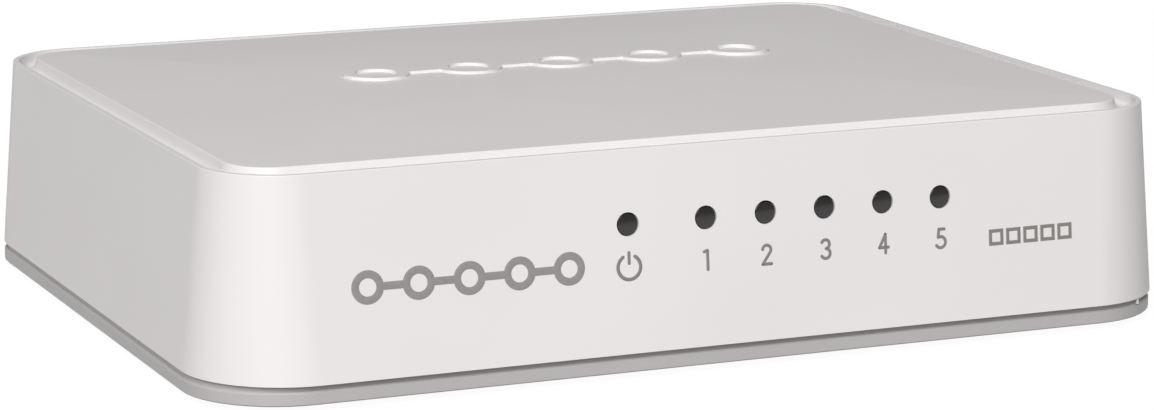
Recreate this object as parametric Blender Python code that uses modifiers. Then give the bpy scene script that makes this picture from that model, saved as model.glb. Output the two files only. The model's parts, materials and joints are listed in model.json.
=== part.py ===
"""Desktop network switch with five ports, built as an assembly of named pieces.

The origin is the middle of the footprint, on the surface the rubber feet stand on.
+X runs along the long side, -Y is the indicator side, +Y the port side, +Z is up.
Lengths are written in millimetres, and MM turns them into metres.
"""
import math

import bmesh
import bpy
from mathutils import Matrix, Vector

MM = 0.001

# ---- casing ----
FOOT_PROUD = 1.0            # how far the feet stand out under the tray
BAND_HALF = (60.73, 47.53)  # half length and half depth of the tray's rim band
BAND_RADIUS = 11.7
BAND_HEIGHT = 1.6
BAND_CHAMFER = 0.15
BAND_TOP_CHAMFER = 0.25
STEP_INSET = 0.42           # from the band's side to the step that backs the shadow gap
STEP_CLEAR = 0.12           # free height between that step and the shell
SHELL_BOTTOM_Z = FOOT_PROUD + 2.32
SHELL_BOTTOM_HALF = (60.68, 48.22)
SHELL_BOTTOM_RADIUS = 12.2
RIM_Z = FOOT_PROUD + 25.28
RIM_HALF = (58.77, 45.99)
RIM_RADIUS = 9.24
SHELL_WALL = 2.0
LIP_WIDTH = 0.72            # flat top of the lip around the moat
LIP_ROUND = 0.1
LIP_INNER_ROUND = 0.08
MOAT_DEPTH = 1.4
MOAT_ROUND = 0.5
PLATEAU_FOOT_ROUND = 0.95   # cove where the plateau's side meets the moat's floor
PLATEAU_SIDE_INSET = 3.04   # from the lip's outer edge to the plateau's edge
PLATEAU_FRONT_INSET = 3.81
PLATEAU_RADIUS = 5.6
PLATEAU_ROUND = 0.2
PLATEAU_DRAFT = 0.15        # lean of the plateau's side over its height
CROWN_RISE = 0.82           # middle of the plateau above the lip
CROWN_X = 1.08e-4           # fall of the crown per square millimetre along X
CROWN_Y = 1.87e-4           # and along Y
CEILING_Z = RIM_Z - 3.4     # inside face under the moat
HOLLOW_Z = RIM_Z - 2.0      # inside face under the plateau
HOLLOW_INSET = 4.9
CORNER_STEPS = 12
MARK_CENTRE = (2.6, 6.5)    # raised mark on the plateau
MARK_RINGS = 5
MARK_PITCH = 12.2
MARK_RADIUS = 4.1
MARK_STROKE = 1.5
MARK_PROUD = 0.3            # above the middle of the crown
POST_RADIUS = 3.25          # screw posts under the shell's ceiling
POST_BORE = 1.5
POST_CLEAR = 2.65           # from the tray's top to the screw bosses' top
OPENING_FROM_Y = 42.0       # the port openings are cut from here out through the rear wall
OPENING_TO_Y = 52.0

# ---- board ----
BOARD_THICK = 1.6
BOARD_HALF_X = 45.5
BOARD_FRONT_Y = -36.0
BOARD_REAR_Y = 44.6
BOARD_RADIUS = 2.0
TRAY_TOP_Z = FOOT_PROUD + BAND_HEIGHT
BOARD_Z = FOOT_PROUD + 5.5
BOARD_TOP_Z = BOARD_Z + BOARD_THICK
GAP = 0.3                   # free space between pieces that fit into each other
SEAT = 0.1                  # solder or glue line under a seated piece
BOARD_SCREWS = ((-41.0, -29.0), (41.0, -29.0), (-42.0, 2.0), (42.0, 2.0))
CASE_SCREW_AT = (50.0, 36.5)
FOOT_AT = (38.0, 37.0)
FOOT_RADIUS = 4.5
FOOT_RECESS = 0.8

# ---- indicators ----
LED_Z = FOOT_PROUD + 16.856
LED_POWER_X = -11.83
LED_PORT_X = -2.229
LED_PITCH = 7.459
LED_Y = -32.0
LENS_RADIUS = 1.15
LENS_HOLE_RADIUS = 1.36
LENS_FRONT_Y = -46.75

# ---- ports ----
PORTS = 5
PORT_PITCH = 14.0
JACK_X = 8.0
JACK_HALF_X = 35.4
JACK_FACE_Y = 46.4
JACK_DEPTH = 16.5
JACK_HEIGHT = 13.4
CAVITY_WIDTH = 11.8
CAVITY_FLOOR = 2.4          # cavity floor above the underside of the block
CAVITY_HEIGHT = 7.0
CAVITY_DEPTH = 13.5
NOTCH_WIDTH = 6.4           # latch channel above the plug space
NOTCH_HEIGHT = 2.2
CONTACT_WIRES = 8
CONTACT_PITCH = 1.02
CONTACT_WIDTH = 0.5
CONTACT_THICK = 0.35
CONTACT_LENGTH = 7.4
CONTACT_RISE = math.radians(20.0)
CONTACT_ROOT = 0.9
CONTACT_AXIS_Y = JACK_FACE_Y - 3.4
CONTACT_AXIS_Z = BOARD_TOP_Z + SEAT + CAVITY_FLOOR + 0.75

# ---- power inlet ----
INLET_X = -40.0
INLET_HALF_X = 4.5
INLET_HEIGHT = 11.0
INLET_DEPTH = 14.0
INLET_AXIS_Z = BOARD_TOP_Z + SEAT + 6.3
INLET_BORE = 3.1
INLET_BORE_DEPTH = 9.5

PARTS = "network_switch"
CUTTERS = "cutters"


# ------------------------------------------------------------------ scene
def clear_scene():
    """Remove every object, mesh, curve and material left in the file."""
    for obj in list(bpy.data.objects):
        bpy.data.objects.remove(obj, do_unlink=True)
    for mesh in list(bpy.data.meshes):
        bpy.data.meshes.remove(mesh)
    for material in list(bpy.data.materials):
        bpy.data.materials.remove(material)
    for group in list(bpy.data.collections):
        bpy.data.collections.remove(group)


def collection(name):
    """The named collection, made the first time it is asked for."""
    group = bpy.data.collections.get(name)
    if group is None:
        group = bpy.data.collections.new(name)
        bpy.context.scene.collection.children.link(group)
    return group


def finish(name, red, green, blue, roughness, metallic=0.0):
    """A plain Principled surface; the colour is linear."""
    material = bpy.data.materials.new(name)
    material.use_nodes = True
    shader = material.node_tree.nodes["Principled BSDF"]
    shader.inputs["Base Color"].default_value = (red, green, blue, 1.0)
    shader.inputs["Roughness"].default_value = roughness
    shader.inputs["Metallic"].default_value = metallic
    material.diffuse_color = (red, green, blue, 1.0)
    return material


# ------------------------------------------------------------------ solids
def mesh_object(name, bm, material=None, smooth=False, group=PARTS):
    """Turn a bmesh given in millimetres into an object in metres."""
    bmesh.ops.scale(bm, vec=(MM, MM, MM), verts=bm.verts)
    bmesh.ops.recalc_face_normals(bm, faces=bm.faces)
    for face in bm.faces:
        face.smooth = smooth
    mesh = bpy.data.meshes.new(name)
    bm.to_mesh(mesh)
    bm.free()
    if material is not None:
        mesh.materials.append(material)
    obj = bpy.data.objects.new(name, mesh)
    collection(group).objects.link(obj)
    return obj


def copy_object(source, name, x, y, z=0.0):
    """A further piece with the same mesh, moved by millimetres."""
    obj = bpy.data.objects.new(name, source.data)
    obj.location = source.location + Vector((x, y, z)) * MM
    collection(PARTS).objects.link(obj)
    return obj


def rounded_ring(half, radius, height, shift_y=0.0):
    """Points of a rounded rectangle; height is a number or a function of x and y."""
    points = []
    for corner in range(4):
        sign_x = 1 if corner in (0, 3) else -1
        sign_y = 1 if corner in (0, 1) else -1
        for step in range(CORNER_STEPS + 1):
            turn = math.radians(90.0) * (corner + step / CORNER_STEPS)
            x = sign_x * (half[0] - radius) + radius * math.cos(turn)
            y = sign_y * (half[1] - radius) + radius * math.sin(turn) + shift_y
            z = height(x, y) if callable(height) else height
            points.append((x, y, z))
    return points


def loft(rings):
    """A closed bmesh through successive rings; open ends are capped with flat fans."""
    bm = bmesh.new()
    loops = []
    for ring in rings:
        loops.append([bm.verts.new(point) for point in ring])
    for lower, upper in zip(loops, loops[1:]):
        for here in range(len(lower)):
            there = (here + 1) % len(lower)
            bm.faces.new((lower[here], lower[there], upper[there], upper[here]))
    ends = [bm.faces.new(loops[0]), bm.faces.new(loops[-1])]
    bmesh.ops.poke(bm, faces=ends)
    return bm


def add_box(bm, low, high):
    """Add a box between two corners."""
    size = [high[axis] - low[axis] for axis in range(3)]
    middle = [(high[axis] + low[axis]) / 2 for axis in range(3)]
    place = Matrix.Translation(middle) @ Matrix.Diagonal((*size, 1.0))
    return bmesh.ops.create_cube(bm, size=1.0, matrix=place)["verts"]


def add_cylinder(bm, middle, radius, length, axis="Z", segments=24):
    """Add a capped cylinder centred on a point and running along an axis."""
    turn = {"X": Matrix.Rotation(math.radians(90), 4, "Y"),
            "Y": Matrix.Rotation(math.radians(90), 4, "X"),
            "Z": Matrix.Identity(4)}[axis]
    place = Matrix.Translation(middle) @ turn
    bmesh.ops.create_cone(bm, cap_ends=True, segments=segments, radius1=radius,
                          radius2=radius, depth=length, matrix=place)


def add_tube(bm, middle, outer, inner, low, high, segments):
    """Add an upright tube with a square section."""
    loops = []
    turns = [2 * math.pi * step / segments for step in range(segments)]
    for radius, height in ((outer, low), (outer, high), (inner, high), (inner, low)):
        ring = [(middle[0] + radius * math.cos(turn), middle[1] + radius * math.sin(turn), height)
                for turn in turns]
        loops.append([bm.verts.new(point) for point in ring])
    for lower, upper in zip(loops, loops[1:] + loops[:1]):
        for here in range(segments):
            there = (here + 1) % segments
            bm.faces.new((lower[here], lower[there], upper[there], upper[here]))


def soft_box(low, high, round_by, segments=2, upright=False):
    """A bmesh box with its edges bevelled, or only its upright edges."""
    bm = bmesh.new()
    add_box(bm, low, high)
    edges = list(bm.edges)
    if upright:
        edges = [edge for edge in edges
                 if abs(edge.verts[0].co.z - edge.verts[1].co.z) > (high[2] - low[2]) / 2]
    bmesh.ops.bevel(bm, geom=edges, offset=round_by, segments=segments, profile=0.5,
                    affect="EDGES", clamp_overlap=True, material=-1)
    return bm


def boolean(target, operand, operation):
    """Add an exact Boolean with a helper object."""
    modifier = target.modifiers.new(operand.name, "BOOLEAN")
    modifier.operation = operation
    modifier.solver = "EXACT"
    modifier.object = operand


def helper(name, bm):
    """A hidden wire object used as a Boolean operand."""
    obj = mesh_object(name, bm, group=CUTTERS)
    obj.display_type = "WIRE"
    obj.hide_render = True
    return obj


def turned(name, profile, steps, material):
    """Turn a profile of (radius, height) pairs round Z; it starts and ends on the axis."""
    mesh = bpy.data.meshes.new(name)
    points = [(radius * MM, 0.0, height * MM) for radius, height in profile]
    mesh.from_pydata(points, [(i, i + 1) for i in range(len(points) - 1)], [])
    mesh.materials.append(material)
    obj = bpy.data.objects.new(name, mesh)
    collection(PARTS).objects.link(obj)
    screw = obj.modifiers.new("turn", "SCREW")
    screw.axis = "Z"
    screw.steps = steps
    screw.render_steps = steps
    screw.use_merge_vertices = True
    screw.merge_threshold = 0.00001
    screw.use_smooth_shade = True
    return obj


# ------------------------------------------------------------------ casing
def crown(x, y):
    """Height of the plateau's gently domed top."""
    return RIM_Z + CROWN_RISE - CROWN_X * x * x - CROWN_Y * y * y


def shell_section(height, inset):
    """Half sizes and corner radius of the drafted wall at a height, moved inwards."""
    share = (height - SHELL_BOTTOM_Z) / (RIM_Z - SHELL_BOTTOM_Z)
    half = [low + share * (top - low) - inset
            for low, top in zip(SHELL_BOTTOM_HALF, RIM_HALF)]
    radius = SHELL_BOTTOM_RADIUS + share * (RIM_RADIUS - SHELL_BOTTOM_RADIUS) - inset
    return half, max(radius, 1.0)


def wall_ring(height, inset):
    """Ring of the drafted wall at a height."""
    half, radius = shell_section(height, inset)
    return rounded_ring(half, radius, height)


def lip_ring(inset, height):
    """Ring measured inwards from the lip's outer edge."""
    half = (RIM_HALF[0] - inset, RIM_HALF[1] - inset)
    return rounded_ring(half, RIM_RADIUS - inset, height)


def plateau_ring(inset, height):
    """Ring measured inwards from the plateau's edge."""
    shift = (PLATEAU_FRONT_INSET - PLATEAU_SIDE_INSET) / 2
    half_x = RIM_HALF[0] - PLATEAU_SIDE_INSET - inset
    half_y = RIM_HALF[1] - PLATEAU_SIDE_INSET - shift - inset
    return rounded_ring((half_x, half_y), max(PLATEAU_RADIUS - inset, 1.0), height, shift)


def quarter(steps):
    """Sine and cosine pairs over a quarter turn, both ends included."""
    turns = [math.radians(90.0) * step / steps for step in range(steps + 1)]
    return [(math.sin(turn), math.cos(turn)) for turn in turns]


def shell_rings():
    """All rings of the shell, from the inside of the ceiling out, over and to the plateau."""
    rings = [rounded_ring((20.0, 14.0), 1.0, HOLLOW_Z),
             lip_ring(HOLLOW_INSET, HOLLOW_Z),
             lip_ring(HOLLOW_INSET, CEILING_Z),
             wall_ring(CEILING_Z, SHELL_WALL),
             wall_ring(SHELL_BOTTOM_Z, SHELL_WALL),
             wall_ring(SHELL_BOTTOM_Z, 0.0),
             wall_ring(RIM_Z - LIP_ROUND * 1.1, 0.0)]
    for sine, cosine in quarter(3)[1:]:
        rings.append(lip_ring(LIP_ROUND * (1 - cosine), RIM_Z - LIP_ROUND * (1 - sine)))
    for sine, cosine in quarter(2):
        inset = LIP_WIDTH - LIP_INNER_ROUND * (1 - sine)
        rings.append(lip_ring(inset, RIM_Z - LIP_INNER_ROUND * (1 - cosine)))
    floor_z = RIM_Z - MOAT_DEPTH
    for sine, cosine in quarter(3):
        inset = LIP_WIDTH + MOAT_ROUND * (1 - cosine)
        rings.append(lip_ring(inset, floor_z + MOAT_ROUND * (1 - sine)))
    for sine, cosine in quarter(4):
        inset = -PLATEAU_DRAFT - PLATEAU_FOOT_ROUND * (1 - sine)
        rings.append(plateau_ring(inset, floor_z + PLATEAU_FOOT_ROUND * (1 - cosine)))
    for sine, cosine in quarter(4):
        drop = PLATEAU_ROUND * (1 - sine)
        rings.append(plateau_ring(PLATEAU_ROUND * (1 - cosine),
                                  lambda x, y, drop=drop: crown(x, y) - drop))
    for inset in (2.0, 6.0, 12.0, 20.0, 30.0, 39.0):
        rings.append(plateau_ring(inset, crown))
    return rings


def ring_mark(shell):
    """Raised mark on the plateau: a row of plain rings joined by short bars."""
    top = RIM_Z + CROWN_RISE + MARK_PROUD
    low = HOLLOW_Z + 1.0
    rings = bmesh.new()
    bars = bmesh.new()
    for index in range(MARK_RINGS):
        x = MARK_CENTRE[0] + MARK_PITCH * (index - (MARK_RINGS - 1) / 2)
        add_tube(rings, (x, MARK_CENTRE[1]), MARK_RADIUS, MARK_RADIUS - MARK_STROKE, low, top, 22)
        if index < MARK_RINGS - 1:
            left = x + MARK_RADIUS - MARK_STROKE / 2
            right = x + MARK_PITCH - MARK_RADIUS + MARK_STROKE / 2
            add_box(bars, (left, MARK_CENTRE[1] - MARK_STROKE / 2, low),
                    (right, MARK_CENTRE[1] + MARK_STROKE / 2, top - 0.02))
    boolean(shell, helper("join_mark_rings", rings), "UNION")
    boolean(shell, helper("join_mark_bars", bars), "UNION")


def top_shell(material):
    """Drafted white cover with its lip, moat, crowned plateau, screw posts and openings."""
    shell = mesh_object("top_shell", loft(shell_rings()), material, smooth=False)
    posts = bmesh.new()
    low = TRAY_TOP_Z + POST_CLEAR + GAP
    for sign_x in (-1, 1):
        for sign_y in (-1, 1):
            middle = (sign_x * CASE_SCREW_AT[0], sign_y * CASE_SCREW_AT[1], (low + HOLLOW_Z + 0.8) / 2)
            add_cylinder(posts, middle, POST_RADIUS, HOLLOW_Z + 0.8 - low)
    boolean(shell, helper("join_posts", posts), "UNION")
    ring_mark(shell)
    bores = bmesh.new()
    for sign_x in (-1, 1):
        for sign_y in (-1, 1):
            middle = (sign_x * CASE_SCREW_AT[0], sign_y * CASE_SCREW_AT[1], low + 4.5)
            add_cylinder(bores, middle, POST_BORE, 11.0, segments=16)
    for x in indicator_positions():
        add_cylinder(bores, (x, -45.0, LED_Z), LENS_HOLE_RADIUS, 8.0, "Y", 32)
    boolean(shell, helper("cut_bores", bores), "DIFFERENCE")
    openings = bmesh.new()
    for x, half, height in ((JACK_X, JACK_HALF_X, JACK_HEIGHT), (INLET_X, INLET_HALF_X, INLET_HEIGHT)):
        add_box(openings, (x - half - GAP, OPENING_FROM_Y, 0.0),
                (x + half + GAP, OPENING_TO_Y, BOARD_TOP_Z + SEAT + height + GAP))
    boolean(shell, helper("cut_rear_openings", openings), "DIFFERENCE")
    return shell


def base_tray(material):
    """Grey tray: rim band, step, floor, locating rib, posts, rear upstands, slots and recesses."""
    low = FOOT_PROUD
    small = [side - BAND_CHAMFER for side in BAND_HALF]
    narrow = [side - BAND_TOP_CHAMFER for side in BAND_HALF]
    stepped = [side - STEP_INSET for side in BAND_HALF]
    step_z = SHELL_BOTTOM_Z - STEP_CLEAR
    rings = [rounded_ring(small, BAND_RADIUS - BAND_CHAMFER, low),
             rounded_ring(BAND_HALF, BAND_RADIUS, low + BAND_CHAMFER),
             rounded_ring(BAND_HALF, BAND_RADIUS, TRAY_TOP_Z - BAND_TOP_CHAMFER),
             rounded_ring(narrow, BAND_RADIUS - BAND_TOP_CHAMFER, TRAY_TOP_Z),
             rounded_ring(stepped, BAND_RADIUS - STEP_INSET, TRAY_TOP_Z),
             rounded_ring(stepped, BAND_RADIUS - STEP_INSET, step_z)]
    inset = SHELL_WALL + GAP
    rib_z = TRAY_TOP_Z + 3.2
    for extra, height in ((inset, step_z), (inset, rib_z), (inset + 1.4, rib_z),
                          (inset + 1.4, TRAY_TOP_Z), (inset + 30.0, TRAY_TOP_Z)):
        half = [side - extra for side in SHELL_BOTTOM_HALF]
        rings.append(rounded_ring(half, max(SHELL_BOTTOM_RADIUS - extra, 1.0), height))
    tray = mesh_object("base_tray", loft(rings), material)
    joins = bmesh.new()
    for x, y in BOARD_SCREWS:
        height = BOARD_Z - SEAT - TRAY_TOP_Z
        add_cylinder(joins, (x, y, TRAY_TOP_Z + (height - 0.4) / 2), 3.0, height + 0.4)
    for sign_x in (-1, 1):
        for sign_y in (-1, 1):
            middle = (sign_x * CASE_SCREW_AT[0], sign_y * CASE_SCREW_AT[1], TRAY_TOP_Z + 1.125)
            add_cylinder(joins, middle, 4.4, 3.05)
    for x, half in ((JACK_X, JACK_HALF_X), (INLET_X, INLET_HALF_X)):
        add_box(joins, (x - half, 44.95, TRAY_TOP_Z - 0.4), (x + half, 46.8, BOARD_TOP_Z - 0.2))
    boolean(tray, helper("join_tray_posts", joins), "UNION")
    cuts = bmesh.new()
    for x, y in BOARD_SCREWS:
        add_cylinder(cuts, (x, y, BOARD_Z), 1.3, 7.0, segments=16)
    for sign_x in (-1, 1):
        for sign_y in (-1, 1):
            x = sign_x * CASE_SCREW_AT[0]
            y = sign_y * CASE_SCREW_AT[1]
            add_cylinder(cuts, (x, y, 3.0), 1.6, 10.0, segments=20)
            add_cylinder(cuts, (sign_x * FOOT_AT[0], sign_y * FOOT_AT[1], low + FOOT_RECESS - 2.0),
                         FOOT_RADIUS + 0.25, 4.0, segments=32)
    for column in (-1, 1):
        for row in range(7):
            x = column * 24.0
            y = -15.0 + 5.0 * row
            add_box(cuts, (x - 10.0, y - 0.8, 0.0), (x + 10.0, y + 0.8, TRAY_TOP_Z + 1.0))
    add_box(cuts, (-13.0, -39.0, 0.0), (13.0, -23.0, low + 0.3))
    boolean(tray, helper("cut_tray", cuts), "DIFFERENCE")
    heads = bmesh.new()
    for sign_x in (-1, 1):
        for sign_y in (-1, 1):
            add_cylinder(heads, (sign_x * CASE_SCREW_AT[0], sign_y * CASE_SCREW_AT[1], 1.5), 3.1, 4.6)
    boolean(tray, helper("cut_head_bores", heads), "DIFFERENCE")
    return tray


def feet(material):
    """Four turned rubber feet standing in the tray's recesses."""
    profile = [(0.0, FOOT_PROUD + FOOT_RECESS - 0.1), (FOOT_RADIUS, FOOT_PROUD + FOOT_RECESS - 0.1),
               (FOOT_RADIUS, 0.35), (FOOT_RADIUS - 0.35, 0.0), (0.0, 0.0)]
    for side_x, sign_x in (("left", -1), ("right", 1)):
        for side_y, sign_y in (("front", -1), ("rear", 1)):
            foot = turned("foot_" + side_y + "_" + side_x, profile, 32, material)
            foot.location = (sign_x * FOOT_AT[0] * MM, sign_y * FOOT_AT[1] * MM, 0.0)


def case_screws(material):
    """Four screws driven up through the tray into the posts of the shell."""
    head_z = FOOT_PROUD + 0.9
    seat_z = head_z + 1.7
    tip_z = seat_z + 9.0
    profile = [(0.0, tip_z), (0.7, tip_z), (1.2, tip_z - 0.8), (1.2, seat_z), (2.7, seat_z),
               (2.7, head_z + 0.5), (2.1, head_z), (0.0, head_z)]
    for side_x, sign_x in (("left", -1), ("right", 1)):
        for side_y, sign_y in (("front", -1), ("rear", 1)):
            x = sign_x * CASE_SCREW_AT[0]
            y = sign_y * CASE_SCREW_AT[1]
            screw = turned("case_screw_" + side_y + "_" + side_x, profile, 20, material)
            screw.location = (x * MM, y * MM, 0.0)
            slots = bmesh.new()
            add_box(slots, (x - 1.5, y - 0.3, head_z - 1.0), (x + 1.5, y + 0.3, head_z + 0.9))
            boolean(screw, helper("cut_case_slot_" + side_y + "_" + side_x, slots), "DIFFERENCE")
            arms = bmesh.new()
            add_box(arms, (x - 0.3, y - 1.5, head_z - 1.0), (x + 0.3, y + 1.5, head_z + 0.95))
            boolean(screw, helper("cut_case_arm_" + side_y + "_" + side_x, arms), "DIFFERENCE")


def rating_label(material):
    """Blank label laid in its recess under the tray."""
    low = FOOT_PROUD + 0.08
    bm = soft_box((-12.5, -38.5, low), (12.5, -23.5, low + 0.12), 1.0, upright=True)
    mesh_object("rating_label", bm, material)


# ------------------------------------------------------------------ board
def indicator_positions():
    """X of the power indicator, then of the port indicators."""
    return [LED_POWER_X] + [LED_PORT_X + LED_PITCH * index for index in range(PORTS)]


def port_positions():
    """X of each port from left to right as seen from the indicator side."""
    return [JACK_X + PORT_PITCH * (index - (PORTS - 1) / 2) for index in range(PORTS)]


def pcb(material):
    """Circuit board with rounded corners and four screw holes."""
    bm = soft_box((-BOARD_HALF_X, BOARD_FRONT_Y, BOARD_Z), (BOARD_HALF_X, BOARD_REAR_Y, BOARD_TOP_Z),
                  BOARD_RADIUS, 4, upright=True)
    board = mesh_object("pcb", bm, material)
    holes = bmesh.new()
    for x, y in BOARD_SCREWS:
        add_cylinder(holes, (x, y, BOARD_Z), 1.5, 6.0, segments=16)
    boolean(board, helper("cut_board_holes", holes), "DIFFERENCE")


def board_screws(material):
    """Four pan-head screws holding the board on the tray's posts."""
    seat_z = BOARD_TOP_Z + SEAT
    profile = [(0.0, seat_z + 1.5), (1.5, seat_z + 1.4), (2.3, seat_z + 0.7), (2.3, seat_z),
               (1.0, seat_z), (1.0, seat_z - 4.4), (0.5, seat_z - 5.0), (0.0, seat_z - 5.0)]
    for index, (x, y) in enumerate(BOARD_SCREWS):
        screw = turned("board_screw_" + str(index + 1), profile, 16, material)
        screw.location = (x * MM, y * MM, 0.0)
        slot = bmesh.new()
        add_box(slot, (x - 1.3, y - 0.25, seat_z + 0.7), (x + 1.3, y + 0.25, seat_z + 3.0))
        boolean(screw, helper("cut_board_slot_" + str(index + 1), slot), "DIFFERENCE")


def leaded_package(name, middle, half, height, leads, sides, material):
    """Chip body standing on rows of gull-wing leads, joined to one body."""
    x, y = middle
    low = BOARD_TOP_Z + SEAT
    bm = soft_box((x - half[0], y - half[1], low + 0.15), (x + half[0], y + half[1], low + height), 0.12, 1)
    chip = mesh_object(name, bm, material)
    rows = bmesh.new()
    pitch = 1.27
    for index in range(leads):
        along = pitch * (index - (leads - 1) / 2)
        for sign in (-1, 1):
            if "Y" in sides:
                edge = y + sign * half[1]
                add_box(rows, (x + along - 0.2, min(edge - sign * 0.4, edge + sign), low),
                        (x + along + 0.2, max(edge - sign * 0.4, edge + sign), low + 0.45))
            if "X" in sides:
                edge = x + sign * half[0]
                add_box(rows, (min(edge - sign * 0.4, edge + sign), y + along - 0.2, low),
                        (max(edge - sign * 0.4, edge + sign), y + along + 0.2, low + 0.45))
    boolean(chip, helper("join_leads_" + name, rows), "UNION")
    return chip


def heat_sink(pad_material, metal):
    """Glued pad and finned aluminium sink above the switch chip."""
    low = BOARD_TOP_Z + SEAT + 1.6 + SEAT
    pad = soft_box((-1.0, -6.0, low), (11.0, 6.0, low + 0.5), 0.3, upright=True)
    mesh_object("thermal_pad", pad, pad_material)
    low += 0.5 + SEAT
    bm = bmesh.new()
    add_box(bm, (-4.0, -9.0, low), (14.0, 9.0, low + 8.0))
    sink = mesh_object("heat_sink", bm, metal)
    slots = bmesh.new()
    for index in range(5):
        x = -1.95 + 3.475 * index
        add_box(slots, (x - 1.15, -12.0, low + 2.0), (x + 1.15, 12.0, low + 12.0))
    boolean(sink, helper("cut_fins", slots), "DIFFERENCE")


def magnetics(material):
    """One isolation transformer block behind each port."""
    first = None
    low = BOARD_TOP_Z + SEAT
    for index, x in enumerate(port_positions()):
        if first is None:
            bm = soft_box((x - 6.2, 18.6, low), (x + 6.2, 27.4, low + 5.6), 0.3, 1)
            first = mesh_object("magnetics_1", bm, material)
            start = x
        else:
            copy_object(first, "magnetics_" + str(index + 1), x - start, 0.0)


def small_parts(finishes):
    """Crystal, capacitors, inductor and the chips around them."""
    low = BOARD_TOP_Z + SEAT
    can = soft_box((19.0, -16.0, low), (30.0, -11.4, low + 3.4), 2.25, 4, upright=True)
    mesh_object("crystal", can, finishes["can"], smooth=False)
    for name, x, y, radius, height in (("capacitor_input", -38.5, 24.5, 4.0, 11.0),
                                       ("capacitor_output", -37.0, 13.0, 3.15, 8.0)):
        profile = [(0.0, height - 0.25), (radius - 0.9, height - 0.25), (radius - 0.7, height),
                   (radius - 0.4, height), (radius, height - 0.4), (radius, 2.2),
                   (radius - 0.35, 1.8), (radius, 1.4), (radius, 0.0), (0.0, 0.0)]
        cap = turned(name, profile, 24, finishes["sleeve"])
        cap.location = (x * MM, y * MM, low * MM)
    coil = soft_box((-29.5, 6.5, low), (-22.5, 13.5, low + 3.6), 1.4, 2, upright=True)
    mesh_object("power_inductor", coil, finishes["ferrite"])
    leaded_package("switch_ic", (5.0, 0.0), (6.0, 6.0), 1.6, 8, "XY", finishes["chip"])
    leaded_package("regulator_ic", (-26.0, -2.0), (2.45, 1.95), 1.5, 4, "Y", finishes["chip"])
    leaded_package("flash_chip", (25.0, 2.0), (2.45, 1.95), 1.5, 4, "Y", finishes["chip"])


# ------------------------------------------------------------------ indicators
def pipe_mesh():
    """Bent light guide with a domed end, swept along an L; x is 0."""
    curve = bpy.data.curves.new("guide", "CURVE")
    curve.dimensions = "3D"
    curve.bevel_depth = LENS_RADIUS * MM
    curve.bevel_resolution = 4
    curve.use_fill_caps = True
    bend = 1.9
    path = [(LED_Y, BOARD_TOP_Z + SEAT + 1.1, 1.0)]
    for sine, cosine in quarter(4):
        path.append((LED_Y - bend * (1 - cosine), LED_Z - bend * (1 - sine), 1.0))
    path.append((LENS_FRONT_Y + 0.5, LED_Z, 1.0))
    for sine, cosine in quarter(4)[1:-1]:
        path.append((LENS_FRONT_Y + 0.5 - 0.5 * sine, LED_Z, cosine))
    path.append((LENS_FRONT_Y, LED_Z, 0.12))
    spline = curve.splines.new("POLY")
    spline.points.add(len(path) - 1)
    for point, (y, z, share) in zip(spline.points, path):
        point.co = (0.0, y * MM, z * MM, 1.0)
        point.radius = share
    rod = bpy.data.objects.new("guide", curve)
    collection(CUTTERS).objects.link(rod)
    bpy.context.view_layer.update()
    graph = bpy.context.evaluated_depsgraph_get()
    mesh = bpy.data.meshes.new_from_object(rod.evaluated_get(graph))
    bpy.data.objects.remove(rod, do_unlink=True)
    bpy.data.curves.remove(curve)
    bm = bmesh.new()
    bm.from_mesh(mesh)
    bpy.data.meshes.remove(mesh)
    bmesh.ops.remove_doubles(bm, verts=bm.verts, dist=0.000001)
    bmesh.ops.scale(bm, vec=(1 / MM, 1 / MM, 1 / MM), verts=bm.verts)
    return bm


def light_path(lens, diode, holder_material):
    """Six diodes, six light guides and the holder that keeps the guides upright."""
    names = ["power"] + ["port_" + str(index + 1) for index in range(PORTS)]
    low = BOARD_TOP_Z + SEAT
    package = soft_box((-0.9, LED_Y - 0.6, low), (0.9, LED_Y + 0.6, low + 0.8), 0.15, 1)
    first_led = mesh_object("led_power", package, diode)
    first_guide = mesh_object("light_guide_power", pipe_mesh(), lens, smooth=True)
    for obj in (first_led, first_guide):
        obj.location.x = LED_POWER_X * MM
    for name, x in list(zip(names, indicator_positions()))[1:]:
        copy_object(first_led, "led_" + name, x - LED_POWER_X, 0.0)
        copy_object(first_guide, "light_guide_" + name, x - LED_POWER_X, 0.0)
    left = LED_POWER_X - 5.0
    right = LED_PORT_X + LED_PITCH * (PORTS - 1) + 5.0
    bm = bmesh.new()
    add_box(bm, (left, LED_Y - 2.6, low + 2.4), (right, LED_Y + 2.6, low + 5.4))
    holder = mesh_object("light_guide_holder", bm, holder_material)
    legs = bmesh.new()
    for x in (left, right - 1.6):
        add_box(legs, (x, LED_Y - 2.6, low), (x + 1.6, LED_Y + 2.6, low + 3.0))
    boolean(holder, helper("join_holder_legs", legs), "UNION")
    holes = bmesh.new()
    for x in indicator_positions():
        add_cylinder(holes, (x, LED_Y, low + 4.0), LENS_RADIUS + 0.2, 8.0, segments=20)
    boolean(holder, helper("cut_holder_holes", holes), "DIFFERENCE")


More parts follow.
